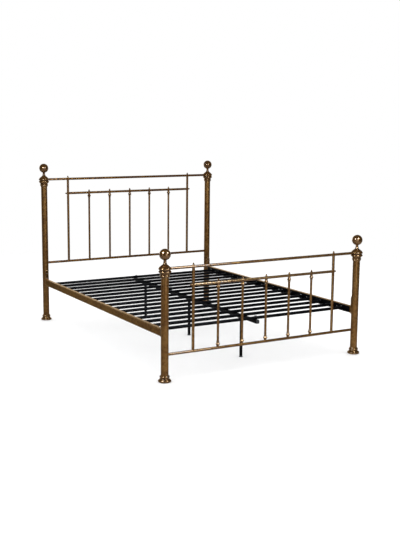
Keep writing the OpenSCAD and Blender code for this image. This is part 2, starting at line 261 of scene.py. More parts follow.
def arc(centre, r, start, end, steps=10):
    """Points on an arc, with its angles in degrees."""
    turns = np.radians(np.linspace(start, end, steps + 1))
    return [(centre[0] + r * math.cos(a), centre[1] + r * math.sin(a)) for a in turns]


def circle(sides):
    """Angles of the points of a circle."""
    return np.arange(sides) * 2 * math.pi / sides


def ring(radius, turns, height):
    """A loop of points around the local axis, in mm, at the given angles."""
    return np.column_stack([radius * np.cos(turns), radius * np.sin(turns), np.full(len(turns), height)])


# half the angle between two sides, in radians, past which their corner stays as it is
NEARLY_STRAIGHT = math.radians(86)
NEARLY_FOLDED = 1e-3


def rounded(line, r, steps=4, wrap=False):
    """The line with each corner rounded to radius r, or less where its sides are short."""
    made = []
    count = len(line)
    for i, p in enumerate(line):
        p = np.array(p, float)
        if not wrap and i in (0, count - 1):
            made.append(p)
            continue
        to_last = np.array(line[i - 1], float) - p
        to_next = np.array(line[(i + 1) % count], float) - p
        last_length = np.linalg.norm(to_last)
        next_length = np.linalg.norm(to_next)
        to_last = to_last / last_length
        to_next = to_next / next_length
        half = math.acos(max(-1.0, min(1.0, float(to_last @ to_next)))) / 2
        if half > NEARLY_STRAIGHT or half < NEARLY_FOLDED:
            made.append(p)
            continue
        back = min(r / math.tan(half), 0.45 * last_length, 0.45 * next_length)
        start = p + to_last * back
        end = p + to_next * back
        for t in np.linspace(0, 1, steps + 1):
            made.append((1 - t) ** 2 * start + 2 * t * (1 - t) * p + t * t * end)
    return made


def turned(shape, at, axis, line, wrap=False, sides=64, bend=None):
    """A turned piece: line holds (radius, height) in mm, with the metal on its left. at is in metres."""
    line = supported(line, wrap)
    wear = curve_wear(line, wrap)
    turns = circle(sides)
    loops = []
    for r, h in line:
        loop = ring(r, turns, h)
        if bend is not None:
            loop = bend(loop)
        loops.append(loop * MM @ AXES[axis].T + np.array(at))
    skin(shape, loops, [[w] * sides for w in wear], wrap)


def tube_line(r, low, high, wall=WALL, edge=0.35):
    """Section of an open tube, as a closed line."""
    start = [(r - wall, low), (r - edge, low), (r, low + edge)]
    return start + [(r, high - edge), (r - edge, high), (r - wall, high)]


def box_loop(w, d, r, steps=4):
    """A rectangle with rounded corners, and points beside each corner, so that wear stays there."""
    made, worn = [], []
    x = w / 2 - r
    y = d / 2 - r
    side = min(SUPPORT, 0.8 * min(x, y))
    for cx, cy, start in ((x, -y, -90), (x, y, 0), (-x, y, 90), (-x, -y, 180)):
        corner = arc((cx, cy), r, start, start + 90, steps)
        first = math.radians(start)
        last = math.radians(start + 90)
        before = (corner[0][0] + side * math.sin(first), corner[0][1] - side * math.cos(first))
        after = (corner[-1][0] - side * math.sin(last), corner[-1][1] + side * math.cos(last))
        made += [before] + corner + [after]
        worn += [0] + [min(1.0, WORN_RADIUS / max(r, 0.1))] * len(corner) + [0]
    return np.array(made), np.array(worn)


def boxed(shape, at, axis, rows, wrap=False):
    """A bar of rounded rectangles: each row is (height, width, depth, corner radius, wear), in mm."""
    loops, worn = [], []
    for h, w, d, r, wear in rows:
        loop, side = box_loop(w, d, r)
        loops.append(np.column_stack([loop, np.full(len(loop), h)]) * MM @ AXES[axis].T + np.array(at))
        worn.append(np.clip(side + wear, -1, 1))
    skin(shape, loops, worn, wrap)


def slab_rows(low, high, w, d, r, edge=0.8):
    """Rows of a solid plate with softened edges."""
    inset = edge + min(SUPPORT, (high - low) / 3) / 3
    inner = (w - 2 * edge, d - 2 * edge, max(r - edge, 0.2))
    return [
        (low, *inner, 0.6), (low + edge, w, d, r, 0.6), (low + inset, w, d, r, 0),
        (high - inset, w, d, r, 0), (high - edge, w, d, r, 0.6), (high, *inner, 0.6),
    ]


def box_tube_rows(low, high, w, d, r, wall=WALL):
    """Rows of an open box tube, outside then inside, for wrap."""
    inside = (w - 2 * wall, d - 2 * wall, max(r - wall, 0.3))
    rim = (w - 0.5, d - 0.5, r, 0.8)
    return [
        (low, *inside, 0), (low, *rim), (low + 0.3, w, d, r, 0.8), (low + SUPPORT, w, d, r, 0),
        (high - SUPPORT, w, d, r, 0), (high - 0.3, w, d, r, 0.8), (high, *rim), (high, *inside, 0),
    ]


def extruded(shape, at, axis, outline, low, high):
    """A closed outline in mm, carried along an axis."""
    outline = supported(outline, True)
    wear = curve_wear(outline, True)
    flat = np.array(outline)
    loops, worn = [], []
    for h in (low, low + SUPPORT, high - SUPPORT, high):
        loops.append(np.column_stack([flat, np.full(len(flat), h)]) * MM @ AXES[axis].T + np.array(at))
        worn.append(wear)
    skin(shape, loops, worn)


def cut(shape, cutter):
    """The shape with the cutter taken away."""
    body = bpy.data.objects.new("body", shape.mesh("body"))
    tool = bpy.data.objects.new("tool", cutter.mesh("tool"))
    for used in (body, tool):
        bpy.context.scene.collection.objects.link(used)
    step = body.modifiers.new("cut", "BOOLEAN")
    step.object = tool
    step.operation = "DIFFERENCE"
    step.solver = "EXACT"
    step.use_self = False
    bpy.context.view_layer.update()
    result = bpy.data.meshes.new_from_object(body.evaluated_get(bpy.context.evaluated_depsgraph_get()))
    made = Shape()
    worn = [0.0] * len(result.vertices)
    if "wear" in result.attributes:
        worn = [d.value for d in result.attributes["wear"].data]
    made.add([v.co for v in result.vertices], [tuple(p.vertices) for p in result.polygons], worn)
    for used in (body, tool):
        mesh = used.data
        bpy.data.objects.remove(used)
        bpy.data.meshes.remove(mesh)
    bpy.data.meshes.remove(result)
    return made


# edges that turn by more than this are shaded sharp
SHARP = math.radians(32)


def piece(node, shape, material):
    """The shape as a Blender piece that stands for a CAD node and rides on its body."""
    name = node + "_fine"
    mesh = shape.mesh(name)
    mesh.polygons.foreach_set("use_smooth", [True] * len(mesh.polygons))
    mesh.set_sharp_from_angle(angle=SHARP)
    mesh.materials.append(material)
    made = bpy.data.objects.new(name, mesh)
    bpy.context.scene.collection.objects.link(made)
    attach(made, frame["nodes"][node]["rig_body"])
    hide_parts(node)


# ---- materials


class Nodes:
    """A material's node tree, filled by short calls."""

    def __init__(self, name):
        self.material = bpy.data.materials.new(name)
        self.material.use_nodes = True
        self.tree = self.material.node_tree
        self.shader = self.tree.nodes["Principled BSDF"]
        self.place = self.tree.nodes.new("ShaderNodeTexCoord").outputs["Object"]

    def link(self, source, target):
        self.tree.links.new(source, target)

    def noise(self, scale, detail=4, rough=0.55, stretch=None, shift=0.0):
        """Noise in the row frame: scale is in features per metre; stretch draws it out along an axis."""
        vector = self.place
        if stretch is not None or shift:
            mapping = self.tree.nodes.new("ShaderNodeMapping")
            mapping.inputs["Scale"].default_value = stretch or (1, 1, 1)
            mapping.inputs["Location"].default_value = (shift, shift, shift)
            self.link(vector, mapping.inputs["Vector"])
            vector = mapping.outputs["Vector"]
        node = self.tree.nodes.new("ShaderNodeTexNoise")
        node.inputs["Scale"].default_value = scale
        node.inputs["Detail"].default_value = detail
        node.inputs["Roughness"].default_value = rough
        self.link(vector, node.inputs["Vector"])
        return node.outputs["Fac"]

    def voronoi(self, scale):
        node = self.tree.nodes.new("ShaderNodeTexVoronoi")
        node.inputs["Scale"].default_value = scale
        self.link(self.place, node.inputs["Vector"])
        return node.outputs["Distance"]

    def wear(self):
        node = self.tree.nodes.new("ShaderNodeAttribute")
        node.attribute_name = "wear"
        return node.outputs["Fac"]

    def math(self, kind, a, b=0.0, c=None, clamp=False):
        node = self.tree.nodes.new("ShaderNodeMath")
        node.operation = kind
        node.use_clamp = clamp
        for socket, value in zip(node.inputs, (a, b, c)):
            if value is None:
                continue
            if isinstance(value, (int, float)):
                socket.default_value = value
            else:
                self.link(value, socket)
        return node.outputs["Value"]

    def span(self, value, low, high, to_low=0.0, to_high=1.0):
        node = self.tree.nodes.new("ShaderNodeMapRange")
        numbers = {"From Min": low, "From Max": high, "To Min": to_low, "To Max": to_high}
        for name, number in numbers.items():
            node.inputs[name].default_value = number
        self.link(value, node.inputs["Value"])
        return node.outputs["Result"]

    def ramp(self, value, stops):
        node = self.tree.nodes.new("ShaderNodeValToRGB")
        band = node.color_ramp
        while len(band.elements) < len(stops):
            band.elements.new(0.5)
        for element, (place, colour) in zip(band.elements, stops):
            element.position = place
            element.color = (*colour, 1)
        self.link(value, node.inputs["Fac"])
        return node.outputs["Color"]

    def mix(self, share, a, b):
        node = self.tree.nodes.new("ShaderNodeMix")
        node.data_type = "RGBA"
        self.link(share, node.inputs[0])
        for socket, value in ((node.inputs[6], a), (node.inputs[7], b)):
            if isinstance(value, tuple):
                socket.default_value = (*value, 1)
            else:
                self.link(value, socket)
        return node.outputs[2]

    def bump(self, height, strength, distance):
        node = self.tree.nodes.new("ShaderNodeBump")
        node.inputs["Strength"].default_value = strength
        node.inputs["Distance"].default_value = distance
        self.link(height, node.inputs["Height"])
        self.link(node.outputs["Normal"], self.shader.inputs["Normal"])

    def set(self, **sockets):
        for name, value in sockets.items():
            socket = self.shader.inputs[name.replace("_", " ")]
            if isinstance(value, (int, float)):
                socket.default_value = value
            else:
                self.link(value, socket)


# marks are drawn out along a tube by a small scale on its axis
DRAWN = 0.045
ALONG = {"x": (DRAWN, 1, 1), "y": (1, DRAWN, 1), "z": (1, 1, DRAWN), None: None}
# where the patina is thick, it is brown, and where it is thin, the metal shows
PATINA = (
    (0.36, (0.077, 0.030, 0.006)),
    (0.46, (0.146, 0.063, 0.014)),
    (0.54, (0.212, 0.102, 0.026)),
    (0.66, (0.302, 0.164, 0.050)),
)
SPECK_COLOUR = (0.045, 0.020, 0.007)
# dark brown of the hollows: partly patina, partly painted shade
CREVICE_PATINA_AND_SHADE_COLOUR = (0.036, 0.016, 0.006)
RUBBED_COLOUR = (0.46, 0.30, 0.14)
BRASS_SHEEN = (0.85, 0.70, 0.48, 1)


def brass(name, along=None, cast=False, shift=0.0, coat=0.15, tint=(1.0, 1.0, 1.0)):
    """Aged brass: brown patina in clouds, drawn marks along the tube, dark specks, rubbed bright edges, and
    hollows darkened by patina and painted shade.
    """
    n = Nodes(name)
    spun = cast or along is None
    clouds = n.noise(7, 5, 0.62, shift=shift)
    mottle = n.noise(55, 6, 0.6, shift=shift + 3)
    drawn = n.noise(260, 4, 0.6, stretch=ALONG[along], shift=shift)
    grain = n.noise(700 if cast else 900, 3, 0.7)
    pits = n.voronoi(420 if cast else 300)
    worn = n.wear()
    body = n.math("ADD", n.math("MULTIPLY", clouds, 0.42), n.math("MULTIPLY", mottle, 0.36))
    body = n.math("ADD", body, n.math("MULTIPLY", drawn, 0.22))
    colour = n.ramp(body, [(at, tuple(t * c for t, c in zip(tint, rgb))) for at, rgb in PATINA])
    specks = n.span(n.math("ADD", pits, n.math("MULTIPLY", mottle, 0.5)), 0.27, 0.36, 0.6, 0.0)
    colour = n.mix(specks, colour, SPECK_COLOUR)
    # hollows darken towards a dark brown: partly patina, partly painted shade standing in for occlusion
    crevice = n.span(n.math("ADD", worn, n.math("MULTIPLY", mottle, 0.3)), 0.0, -0.45, 0.0, 0.92)
    colour = n.mix(crevice, colour, CREVICE_PATINA_AND_SHADE_COLOUR)
    rubbed = n.math("MULTIPLY", n.span(worn, 0.22, 0.85), n.span(mottle, 0.36, 0.60, 0.25, 1.0), clamp=True)
    colour = n.mix(n.math("MULTIPLY", rubbed, 0.75), colour, RUBBED_COLOUR)
    n.link(colour, n.shader.inputs["Base Color"])
    rough = n.math("ADD", n.math("MULTIPLY", mottle, 0.6), n.math("MULTIPLY", grain, 0.4))
    rough = n.span(rough, 0.35, 0.65, 0.13 if spun else 0.24, 0.24 if spun else 0.38)
    rough = n.math("SUBTRACT", rough, n.math("MULTIPLY", rubbed, 0.08))
    n.set(Metallic=n.span(body, 0.36, 0.64, 0.62, 0.84), Roughness=rough)
    height = n.math("ADD", n.math("MULTIPLY", grain, 0.5), n.math("MULTIPLY", drawn, 0.2 if cast else 0.5))
    height = n.math("ADD", height, n.span(pits, 0.0, 0.22, -0.5, 0.0))
    n.bump(height, 0.12 if spun else 0.2, 0.00025)
    n.shader.inputs["Specular Tint"].default_value = BRASS_SHEEN
    n.shader.inputs["Coat Weight"].default_value = coat
    n.shader.inputs["Coat Roughness"].default_value = 0.08
    n.shader.inputs["Coat IOR"].default_value = 1.6
    return n.material


def black_steel(name):
    """Satin black powder coat: fine orange peel, faint scuffs, thin coat on edges."""
    n = Nodes(name)
    peel = n.noise(620, 3, 0.55)
    clouds = n.noise(14, 5, 0.6)
    scuffs = n.noise(120, 6, 0.7, stretch=(0.12, 1, 1))
    worn = n.wear()
    colour = n.ramp(n.math("ADD", n.math("MULTIPLY", clouds, 0.6), n.math("MULTIPLY", scuffs, 0.4)), [
        (0.35, (0.0008, 0.0008, 0.0013)),
        (0.55, (0.0014, 0.0014, 0.0021)),
        (0.72, (0.0034, 0.0033, 0.0040)),
    ])
    rub = n.math("MULTIPLY", n.span(worn, 0.5, 1.0), n.span(scuffs, 0.52, 0.66, 0.0, 0.5), clamp=True)
    colour = n.mix(rub, colour, (0.060, 0.058, 0.056))
    n.link(colour, n.shader.inputs["Base Color"])
    rough = n.span(n.math("ADD", clouds, n.math("MULTIPLY", scuffs, 0.5)), 0.5, 1.0, 0.34, 0.50)
    n.set(Metallic=0.0, Roughness=rough)
    n.shader.inputs["Specular IOR Level"].default_value = 0.08
    n.bump(peel, 0.12, 0.0002)
    return n.material


def black_plastic(name):
    """Moulded black plastic with a fine spark-eroded grain."""
    n = Nodes(name)
    grain = n.noise(1500, 2, 0.5)
    clouds = n.noise(40, 4, 0.6)
    worn = n.wear()
    colour = n.ramp(clouds, [(0.38, (0.010, 0.010, 0.011)), (0.62, (0.021, 0.021, 0.022))])
    colour = n.mix(n.span(worn, 0.4, 1.0, 0.0, 0.4), colour, (0.060, 0.060, 0.062))
    n.link(colour, n.shader.inputs["Base Color"])
    n.set(Metallic=0.0, Roughness=n.span(clouds, 0.35, 0.65, 0.48, 0.66))
    n.bump(grain, 0.25, 0.0002)
    return n.material


def zinc(name):
    """Zinc-plated screws: pale grey metal with cloudy tarnish, and painted shade in the recesses."""
    n = Nodes(name)
    clouds = n.noise(260, 5, 0.65)
    grain = n.noise(2200, 2, 0.5)
    worn = n.wear()
    colour = n.ramp(clouds, [
        (0.34, (0.16, 0.155, 0.14)),
        (0.52, (0.34, 0.335, 0.32)),
        (0.70, (0.52, 0.52, 0.50)),
    ])
    # the cross recesses and thread roots darken: painted shade
    colour = n.mix(n.span(worn, -0.1, -0.8, 0.0, 0.7), colour, (0.05, 0.048, 0.045))
    n.link(colour, n.shader.inputs["Base Color"])
    n.set(Metallic=1.0, Roughness=n.span(clouds, 0.3, 0.7, 0.26, 0.48))
    n.bump(grain, 0.15, 0.0001)
    return n.material


# brass by the axis that its marks run along, or None for the balls; the headboard's rails and the
# thin tubes have their own
BRASS = {
    "x": brass("brass_along_x", "x", coat=0.6, tint=(0.92, 0.92, 0.92)),
    "y": brass("brass_along_y", "y", shift=1.7, coat=0.0, tint=(0.86, 0.86, 0.86)),
    "z": brass("brass_along_z", "z", shift=0.6),
    "head": brass("brass_head_rails", "x", coat=0.3, tint=(0.82, 0.70, 0.48)),
    "thin": brass("brass_thin_tubes", "z", shift=0.6, coat=0.0, tint=(0.70, 0.56, 0.34)),
    None: brass("brass_spun", None, shift=2.3, coat=0.7),
}
CAST = brass("brass_cast", None, cast=True, shift=5.1, coat=0.5)
BLACK = black_steel("black_coat")
PLASTIC = black_plastic("black_moulding")
ZINC = zinc("zinc_plate")


def centre(node):
    low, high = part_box(node)
    return (low + high) / 2


ENDS = ("head", "foot")
SIDES = ("left", "right")
POST_Y = centre("post_head_left").y
post_at = {(e, s): centre(f"post_{e}_{s}") for e in ENDS for s in SIDES}
top_z = {e: centre(f"{e}_top_rail").z for e in ENDS}
mid_z = {e: centre(f"{e}_mid_rail").z for e in ENDS}
low_z = {e: centre(f"{e}_low_rail").z for e in ENDS}
side_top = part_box("side_rail_left")[1].z / MM


# ---- posts, bases, caps and balls


def slot_cutters(far):
    """The slots for the rail hooks, seen from a post's axis towards +Y."""
    cutter = Shape()
    for z in [side_top - d for d in HOOK_DROPS] + [side_top + d for d in SPARE_RISES]:
        boxed(cutter, (0, 0, z * MM), "y", [
            (SLOT_FROM, SLOT_H, SLOT_W, 0.6, 0), (far, SLOT_H, SLOT_W, 0.6, 0)])
    return cutter


def at_post(end, side, z=0.0):
    """A turn and move that takes a shape facing +Y at the origin to a post, facing the bed's middle."""
    turn = Matrix.Rotation(math.pi if end == "head" else 0.0, 4, "Z")
    at = post_at[end, side]
    return Matrix.Translation((at.x, at.y, z)) @ turn


def post(end, side):
    """A post's tube, with its hook slots and the hole for the low rail."""
    height = top_z[end] / MM
    tube = Shape()
    line = tube_line(POST_R, BASE_FLOOR, height + POST_END)
    turned(tube, (0, 0, 0), "z", line, wrap=True, sides=96)
    tool = slot_cutters(POST_R + 2)
    inward = "x" if (side == "left") == (end == "foot") else "-x"
    turned(tool, (0, 0, low_z[end]), inward,
           [(0, 0), (RAIL_R + FIT, 0), (RAIL_R + FIT, POST_R + 5), (0, POST_R + 5)])
    made = Shape()
    made.copy_in(cut(tube, tool), at_post(end, side))
    piece(f"post_{end}_{side}", made, BRASS["z"])


# outlines as (radius, height): the base from the floor, the cap and finial from the top rail's axis
BASE_LINE = (
    [(0, GLIDE_T), (GLIDE_R + FIT, GLIDE_T), (GLIDE_R + FIT, BASE_LIFT), (37.6, BASE_LIFT)]
    + arc((35, 8.5), 8, -65, 62, 18)
    + arc((41.3, 26), 10, 248, 182, 14)
    + arc((24.5, 35), 8.5, -48, 70, 16)
    + [(27, 43.8), (26.6, BASE_TOP), (POST_R + FIT, BASE_TOP)]
    + [(POST_R + FIT, BASE_FLOOR), (0, BASE_FLOOR)]
)
CAP_LINE = (
    [(0, POST_END), (POST_R + FIT, POST_END), (POST_R + FIT, CAP_BOTTOM), (26.4, CAP_BOTTOM), (26.8, -57.4)]
    + rounded([(28.8, -54.4), (29.3, -53.2), (29.3, -51), (29, -50)], 0.4, 3)
    + arc((27.4, -44), 5.6, -70, 75, 14)
    + rounded([(29, -38), (30.2, -36.4), (30.2, -31), (33.6, -28.8), (33.6, -26.2), (35, -25.6)],
              0.7, 3)
    + arc((34.6, -18), 7, -72, 76, 16)
    + [(36, -8.8)]
    + arc((35, 1), 7, -76, 44, 16)
    + rounded([(36, 11.4), (30.5, 16.8), (24, 22.2), (17.6, 27)], 3, 4)
    + [(16.4, CAP_TOP), (0, CAP_TOP)]
)
FINIAL_LINE = (
    [(0, CAP_TOP - 13), (4, CAP_TOP - 13), (4, CAP_TOP), (15.2, CAP_TOP)]
    + arc((14.9, 28.8), 0.7, -60, 75, 5)
    + [(12.9, 30.3)]
    + arc((9.8, 33.5), 3.6, -38, 55, 10)
    + rounded([(11.4, 38.4), (10.5, 41), (10, 44.5), (9.8, 50), (9.9, 54), (10.2, 55.2)], 4, 4)
    + arc((0, BALL_RISE), BALL_R, -73.5, 90, 56)
)


def castings(end, side):
    """A post's base, its cap with the socket of the top rail, and its ball."""
    at = post_at[end, side]
    floor = (at.x, at.y, 0)
    top = (at.x, at.y, top_z[end])
    shape = Shape()
    turned(shape, floor, "z", BASE_LINE, sides=96)
    piece(f"post_base_{end}_{side}", shape, CAST)
    shape = Shape()
    tool = Shape()
    turned(shape, top, "z", CAP_LINE, sides=96)
    turned(tool, top, "x" if side == "left" else "-x",
           [(0, SOCKET), (RAIL_R + FIT, SOCKET), (RAIL_R + FIT, 50), (0, 50)])
    piece(f"post_cap_{end}_{side}", cut(shape, tool), CAST)
    shape = Shape()
    turned(shape, top, "z", FINIAL_LINE, sides=96)
    piece(f"ball_finial_{end}_{side}", shape, BRASS[None])


# ---- boards


def dip(r, offset):
    """How far above the axis of a tube of radius r its surface is, at an offset to the side."""
    return np.sqrt(np.maximum((r + FIT) ** 2 - offset ** 2, 0))


def across(node, r):
    """A tube along X that fills its CAD node's box."""
    low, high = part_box(node)
    shape = Shape()
    turned(shape, (0, centre(node).y, centre(node).z), "x",
           tube_line(r, low.x / MM, high.x / MM), wrap=True, sides=48)
    return shape


def pin_line(low, high):
    """Outline of a board's stud, bevelled at its tip."""
    return [(0, low), (PIN_R, low), (PIN_R, high - PIN_BEVEL), (PIN_R - PIN_BEVEL, high), (0, high)]


def mid_rail(end):
    """The mid rail ends on the uprights, and its studs pass through them."""
    node = f"{end}_mid_rail"
    at = (0, board_y[end], mid_z[end])
    reach = UPRIGHT_X / MM

    def meets(loop):
        far = reach - dip(UPRIGHT_R, loop[:, 0])
        return np.column_stack([loop[:, :2], np.clip(loop[:, 2], -far, far)])

    shape = Shape()
    rod = [(0, -reach), (RAIL_R, -reach), (RAIL_R, reach), (0, reach)]
    turned(shape, at, "x", rod, sides=48, bend=meets)
    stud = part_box(node)[1].x / MM
    for axis in ("x", "-x"):
        turned(shape, at, axis, pin_line(reach - 14, stud), sides=24)
    piece(node, shape, rail_brass[end])


def bar(shape, x, end, r, upper):
    """An upright or spindle, shaped to the rails at both ends, with a stud on top."""
    y = board_y[end]
    length = (upper - low_z[end]) / MM

    def meets(loop):
        near = dip(RAIL_R, loop[:, 1])
        return np.column_stack([loop[:, :2], np.clip(loop[:, 2], near, length - near)])

    turned(shape, (x, y, low_z[end]), "z", [(0, 0), (r, 0), (r, length), (0, length)], sides=40, bend=meets)
    turned(shape, (x, y, upper), "z", pin_line(-16, PIN_TOP), sides=24)


# outlines as (radius, height) from the axis of the rail that the collar or nut sits on
COLLAR_LINE = (
    [(SPINDLE_R + FIT, 0), (9.2, 0), (9.2, 13)]
    + rounded([(9.25, 15.6), (9.7, 17.4), (12.1, 21.6), (13.95, 24.6), (13.95, 27.4), (12.1, 30.4),
               (9.7, 34.6), (9.25, 36.6)], 1.2, 3)
    + arc((8.6, 40.3), 1.75, -72, 72, 8)
    + [(9.1, 42.6), (8.9, 43), (SPINDLE_R + FIT, 43)]
)
ACORN_LINE = (
    [(0, 0), (7.2, 0)]
    + rounded([(7.45, 10), (7.45, 12), (6.9, 12.8), (5.5, 13.3), (5.6, 14.2), (6.25, 15.9),
               (6.05, 18), (5.2, 20.4), (3.7, 22.6), (2.1, 24.4), (1.0, 25.4)], 0.8, 3)
    + [(0.45, 25.85), (0, 26)]
)


def seated(r, column):
    """Keeps a turned piece off a tube of radius r through its origin; column is at right angles to it."""
    def meets(loop):
        return np.column_stack([loop[:, :2], np.maximum(loop[:, 2], dip(r, loop[:, column]))])
    return meets


ON_RAIL = seated(RAIL_R, 1)
ON_UPRIGHT = seated(UPRIGHT_R, 0)

board_y = {"head": POST_Y, "foot": -POST_Y}
rail_brass = {"head": BRASS["head"], "foot": BRASS["x"]}
UPRIGHT_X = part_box("head_uprights")[1].x - UPRIGHT_R * MM
spindle_low, spindle_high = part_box("head_spindles")
SPINDLE_X = np.linspace(spindle_low.x + SPINDLE_R * MM, spindle_high.x - SPINDLE_R * MM, SPINDLES)


def boards():
    """Both boards. A spindle has a collar at its top, and on the footboard one at its foot as well."""
    collars = Shape()
    acorns = Shape()
    for end in ENDS:
        y = board_y[end]
        for level in ("top", "low"):
            node = f"{end}_{level}_rail"
            piece(node, across(node, RAIL_R), rail_brass[end])
        mid_rail(end)
        uprights = Shape()
        spindles = Shape()
        for x in (-UPRIGHT_X, UPRIGHT_X):
            bar(uprights, x, end, UPRIGHT_R, top_z[end])
            turned(acorns, (x, y, top_z[end]), "z", ACORN_LINE, sides=40, bend=ON_RAIL)
        for x in SPINDLE_X:
            bar(spindles, x, end, SPINDLE_R, mid_z[end])
            turned(acorns, (x, y, mid_z[end]), "z", ACORN_LINE, sides=40, bend=ON_RAIL)
            turned(collars, (x, y, mid_z[end]), "-z", COLLAR_LINE, wrap=True, sides=48, bend=ON_RAIL)
            if end == "foot":
                turned(collars, (x, y, low_z[end]), "z", COLLAR_LINE, wrap=True, sides=48, bend=ON_RAIL)
        for x, axis in ((-UPRIGHT_X, "-x"), (UPRIGHT_X, "x")):
            turned(acorns, (x, y, mid_z[end]), axis, ACORN_LINE, sides=40, bend=ON_UPRIGHT)
        piece(f"{end}_uprights", uprights, BRASS["thin"])
        piece(f"{end}_spindles", spindles, BRASS["thin"])
    piece("spindle_collars", collars, CAST)
    piece("acorn_nuts", acorns, CAST)


# ---- side rails, brackets and screws


def pan_head(r, h, shank_r, length, cross):
    """A pan-head screw with a cross recess: its seat is at the origin and its head points to +Z."""
    head = Shape()
    tool = Shape()
    line = [(0, -length), (shank_r - 0.5, -length), (shank_r, -length + 0.7), (shank_r, 0)]
    line += [(r - 0.3, 0), (r, 0.3), (r, 0.35 * h), (0.93 * r, 0.68 * h), (0.74 * r, 0.9 * h)]
    line += [(0.45 * r, 0.985 * h), (0, h)]
    turned(head, (0, 0, 0), "z", rounded(line, 0.3, 2), sides=32)
    for w, d in ((cross, cross * 0.24), (cross * 0.24, cross)):
        boxed(tool, (0, 0, 0), "z", [(0.35 * h, w * 0.6, d * 0.6, 0.05, 0), (h + 1, w, d, 0.05, 0)])
    return cut(head, tool)


def hex_bolt(r, h, shank_r, length):
    """A hexagon bolt on a washer 1 mm thick."""
    made = Shape()
    shank = [(0, -length), (shank_r - 0.6, -length), (shank_r, -length + 0.8), (shank_r, 0), (0, 0)]
    washer = [(0, 0), (r + 1.3, 0), (r + 1.5, 0.2), (r + 1.5, 0.8), (r + 1.3, 1), (0, 1)]
    turned(made, (0, 0, 0), "z", shank, sides=32)
    turned(made, (0, 0, 0), "z", washer, sides=48)
    sides = 48
    turns = circle(sides)
    corner = math.pi / 6
    flat = r * math.cos(corner) / np.cos((turns + corner) % (2 * corner) - corner)
    loops, worn = [], []
    for z, reach, wear in ((1, r, 0), (1.6, r, 0.2), (h - 1.1, r, 0.3), (h, 0.86 * r, 1), (h, 0.6 * r, 0)):
        radius = np.minimum(flat, reach) if z < h else reach
        loops.append(ring(radius, turns, z) * MM)
        worn.append([wear] * sides)
    skin(made, loops, worn)
    return made


def side_rail(side):
    """A box tube with an end plate and two hooks at each end."""
    node = f"side_rail_{side}"
    x = post_at["foot", side].x
    reach = POST_Y / MM - BRACKET_FACE
    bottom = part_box(node)[0].z / MM
    high = side_top - bottom
    z = (side_top + bottom) / 2 * MM
    shape = Shape()
    tube = box_tube_rows(-reach + PLATE_T, reach - PLATE_T, high, SIDE_W, 2.6)
    boxed(shape, (x, 0, z), "y", tube, wrap=True)
    for axis, way in (("y", 1), ("-y", -1)):
        boxed(shape, (x, 0, z), axis, slab_rows(reach - PLATE_T, reach, high, PLATE_W, 2.0, 0.5))
        for drop in HOOK_DROPS:
            hook(shape, x, (side_top - drop) * MM, reach, way)
    piece(node, shape, BRASS["y"])


# a hook's outline as (height from its middle, distance from the end plate)
HOOK_LINE = rounded([
    (-HOOK_HALF_H, 0), (HOOK_HALF_H, 0), (HOOK_HALF_H, HOOK_REACH), (-HOOK_NOSE, HOOK_REACH),
    (-HOOK_NOSE, HOOK_INNER), (-HOOK_HALF_H, HOOK_INNER)], 0.8, 2, wrap=True)


def hook(shape, x, z, reach, way):
    """A flat hook in the plane of Y and Z, with softened edges."""
    loops, worn = [], []
    middle = HOOK_REACH / 2
    soft = HOOK_HALF_T - 0.4
    for off, inset in ((-HOOK_HALF_T, 0.85), (-soft, 1.0), (soft, 1.0), (HOOK_HALF_T, 0.85)):
        loops.append([
            (x + off * MM, way * (reach + middle + (b - middle) * inset) * MM, z + a * MM * inset)
            for a, b in HOOK_LINE])
        worn.append([0.3] * len(HOOK_LINE))
    if way > 0:
        loops = [loop[::-1] for loop in loops]
    skin(shape, np.array(loops), worn)


def bracket():
    """The saddle that backs the hook slots, at a post's axis and facing +Y."""
    low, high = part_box("rail_brackets")
    bottom = low.z / MM
    top = high.z / MM
    r = BRACKET_W / 2
    body = Shape()
    loops, worn = [], []
    for back, inset, wear in (
            (16, 0, 0), (2.4, 0, 0), (1.4, 0, 0.5), (0.5, 0.5, 1), (0, 1.4, 1), (0, 3.5, 0)):
        y = (BRACKET_FACE - back) * MM
        rim = arc((0, top - r), r - inset, 0, 180, 24) + arc((0, bottom + r), r - inset, 180, 360, 24)
        loops.append([(px * MM, y, pz * MM) for px, pz in reversed(rim)])
        worn.append([wear] * len(rim))
    skin(body, np.array(loops), worn)
    tool = Shape()
    past = 20
    bore = POST_R + FIT
    turned(tool, (0, 0, 0), "z",
           [(0, bottom - past), (bore, bottom - past), (bore, top + past), (0, top + past)], sides=96)
    body = cut(body, tool)
    return cut(body, slot_cutters(BRACKET_FACE + 2))


def fittings():
    """The brackets on the posts and the three screws of each."""
    saddle = bracket()
    screw = pan_head(3.5, 1.6, 2, 9, 3.6)
    brackets = Shape()
    screws = Shape()
    out = Matrix.Translation((0, BRACKET_FACE * MM, 0)) @ Matrix.Rotation(-math.pi / 2, 4, "X")
    for end in ENDS:
        for side in SIDES:
            brackets.copy_in(saddle, at_post(end, side))
            for rise in SCREW_RISES:
                screws.copy_in(screw, at_post(end, side, (side_top + rise) * MM) @ out)
    piece("rail_brackets", brackets, CAST)
    piece("bracket_screws", screws, ZINC)


# ---- slat deck

SLAT_NODES = [f"slat_{i:02d}" for i in range(1, SLATS + 1)]
SLAT_Z = centre(SLAT_NODES[0]).z / MM
SLAT_Y = [centre(node).y for node in SLAT_NODES]
carrier_low, carrier_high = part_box("slat_carrier_right")
STRIP_X = carrier_high.x / MM - CARRIER_T
SCREW_X = (STRIP_X - SCREW_INSET) * MM
beam_low, beam_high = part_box("centre_beam")
LEG_Y = [centre(f"centre_leg_{i}").y for i in (1, 2, 3)]


def slats():
    """The tubes across the bed."""
    for node in SLAT_NODES:
        piece(node, across(node, SLAT_R), BLACK)


